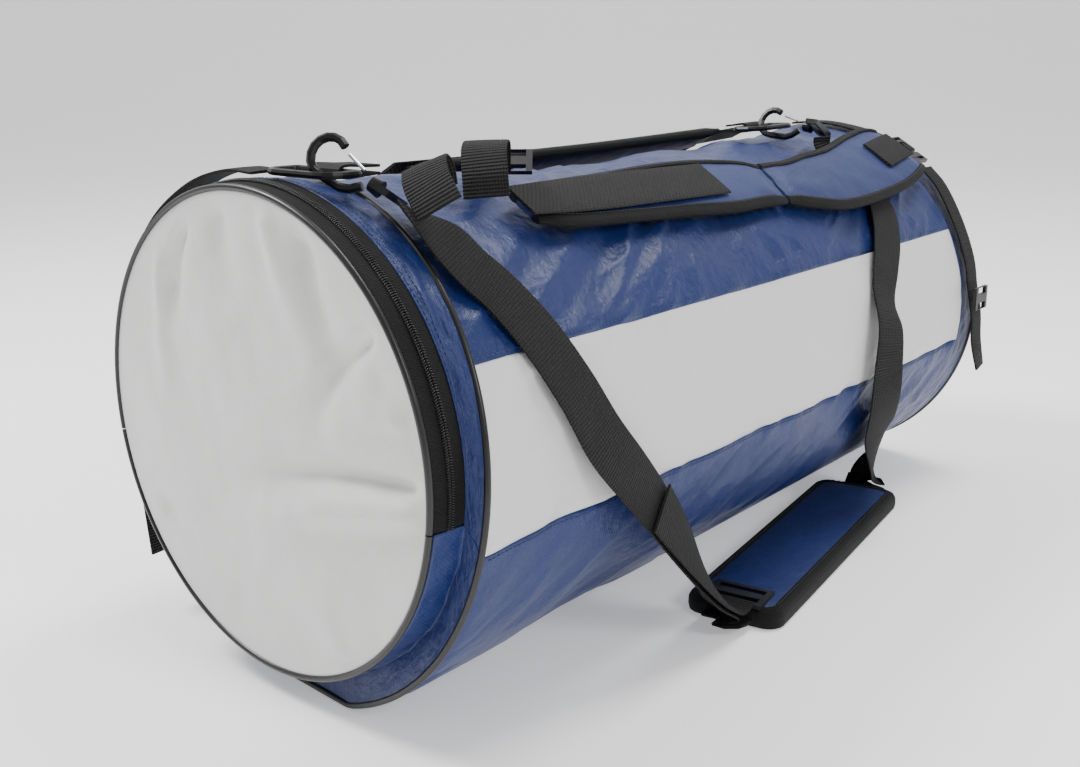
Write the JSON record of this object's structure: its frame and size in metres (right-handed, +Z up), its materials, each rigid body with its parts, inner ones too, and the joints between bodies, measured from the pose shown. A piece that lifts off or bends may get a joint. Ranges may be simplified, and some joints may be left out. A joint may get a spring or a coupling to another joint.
{
  "type": "duffel bag",
  "caption": "Round barrel sports duffel bag with a zipped end panel, shoulder strap with sliding pad, padded carrying straps, D-rings and swivel snap hooks.",
  "frame": {"origin": "middle of the flat strip that the bag rests on, 378 mm behind the zipped end panel", "axes": "+X along the barrel from the zipped end to the plain end, -Y to the side that carries the shoulder strap, +Z up"},
  "size_m": [0.7511, 0.407, 0.3802],
  "materials": {
    "white_fabric": "fine weave, slight sheen",
    "blue_fabric": "twill with satin sheen",
    "piping": "smooth bound piping",
    "zip_tape": "woven tape",
    "zip_coil": "moulded coil",
    "zip_metal": "black enamel",
    "webbing": "ribbed webbing",
    "plastic": "fine texture",
    "hook_metal": "black enamel",
    "steel": "bright wire"
  },
  "bodies": {
    "bag": {"near_stripe_panel": "white_fabric", "far_stripe_panel": "white_fabric", "rear_end_panel": "white_fabric", "end_panel_lower": "white_fabric", "top_panel": "blue_fabric", "bottom_panel": "blue_fabric", "rear_gusset": "blue_fabric", "gusset_upper": "blue_fabric", "gusset_lower": "blue_fabric", "backpack_strap_near_rear": "blue_fabric", "gusset_seam_piping": "piping", "rear_rim_piping": "piping", "lower_rim_piping": "piping", "zip_tape_gusset_side": "zip_tape", "zip_coil_gusset_side": "zip_coil", "shoulder_strap_webbing": "webbing", "shoulder_strap_doubled_end": "webbing", "near_rear_anchor_webbing": "webbing", "far_rear_anchor_webbing": "webbing", "front_strap_loop": "webbing", "carry_loop": "webbing", "front_hanging_strap": "webbing", "rear_rim_strap": "webbing", "front_d_ring_keeper": "webbing", "rear_d_ring_keeper": "webbing", "shoulder_strap_adjuster": "plastic", "carry_loop_ladder_lock": "plastic", "rear_rim_buckle_housing": "plastic", "front_hook_eye": "hook_metal", "rear_hook_eye": "hook_metal"},
    "end_flap": {"end_flap": "white_fabric", "flap_rim_piping": "piping", "zip_tape_flap_side": "zip_tape", "zip_coil_flap_side": "zip_coil"},
    "zip_slider": {"zip_slider": "zip_metal"},
    "zip_pull": {"zip_pull": "zip_metal"},
    "shoulder_pad": {"shoulder_pad": "blue_fabric"},
    "front_d_ring": {"front_d_ring": "hook_metal"},
    "rear_d_ring": {"rear_d_ring": "hook_metal"},
    "front_hook": {"front_hook_body": "hook_metal", "front_hook_swivel": "hook_metal"},
    "front_hook_gate": {"front_hook_gate": "steel"},
    "rear_hook": {"rear_hook_body": "hook_metal", "rear_hook_swivel": "hook_metal"},
    "rear_hook_gate": {"rear_hook_gate": "steel"},
    "backpack_strap_near": {"backpack_strap_near": "blue_fabric", "backpack_webbing_near": "webbing"},
    "backpack_strap_far": {"backpack_strap_far": "blue_fabric", "backpack_webbing_far": "webbing"},
    "rear_buckle_half": {"rear_rim_buckle_prongs": "plastic", "rear_hanging_strap": "webbing", "rear_ladder_lock": "plastic"}
  },
  "joints": [
    {"name": "end_flap_hinge", "type": "hinge", "parent": "bag", "child": "end_flap", "pos_m": [-0.3815, 0, 0.15834], "axis": [0, -1, 0], "range_deg": [0, 130]},
    {"name": "zip_travel", "type": "hinge", "parent": "bag", "child": "zip_slider", "pos_m": [-0.378, 0, 0.184], "axis": [1, 0, 0], "range_deg": [0, 186]},
    {"name": "zip_pull_swing", "type": "hinge", "parent": "zip_slider", "child": "zip_pull", "pos_m": [-0.3636, 0.17223, 0.17196], "axis": [1, 0, 0], "range_deg": [0, 150]},
    {"name": "pad_slide", "type": "slide", "parent": "bag", "child": "shoulder_pad", "axis": [0.9877, 0.1564, 0], "range_m": [-0.008, 0.004]},
    {"name": "front_d_ring_swing", "type": "hinge", "parent": "bag", "child": "front_d_ring", "pos_m": [-0.3265, -0.029, 0.355], "axis": [0, 1, 0], "range_deg": [0, 8]},
    {"name": "rear_d_ring_swing", "type": "hinge", "parent": "bag", "child": "rear_d_ring", "pos_m": [0.22, -0.0005, 0.347], "axis": [-1, 0, 0], "range_deg": [0, 5]},
    {"name": "front_hook_swivel_turn", "type": "hinge", "parent": "bag", "child": "front_hook", "pos_m": [-0.3277, -0.0825, 0.3452], "axis": [-0.2803, 0.831, 0.4806], "range_deg": [-12, 6]},
    {"name": "front_hook_gate_hinge", "type": "hinge", "parent": "front_hook", "child": "front_hook_gate", "pos_m": [-0.33064, -0.06848, 0.35775], "axis": [-0.8197, -0.4677, 0.3306], "range_deg": [0, 25], "stiffness_Nm_per_rad": 0.02},
    {"name": "rear_hook_swivel_turn", "type": "hinge", "parent": "bag", "child": "rear_hook", "pos_m": [0.2243, -0.0659, 0.3485], "axis": [-0.0803, 0.9935, 0.0803], "range_deg": [-12, 6]},
    {"name": "rear_hook_gate_hinge", "type": "hinge", "parent": "rear_hook", "child": "rear_hook_gate", "pos_m": [0.22463, -0.04771, 0.3541], "axis": [-0.9119, -0.1057, 0.3965], "range_deg": [0, 25], "stiffness_Nm_per_rad": 0.02},
    {"name": "near_strap_lift", "type": "hinge", "parent": "bag", "child": "backpack_strap_near", "pos_m": [0.076, -0.11, 0.31304], "axis": [0, 0.809, 0.5878], "range_deg": [0, 35]},
    {"name": "far_strap_lift", "type": "hinge", "parent": "bag", "child": "backpack_strap_far", "pos_m": [0.262, 0.08149, 0.33077], "axis": [0, 0.8988, -0.4384], "range_deg": [0, 35]},
    {"name": "rear_buckle_slide", "type": "slide", "parent": "bag", "child": "rear_buckle_half", "axis": [0, -0.8572, -0.515], "range_m": [0, 0.02]}
  ]
}
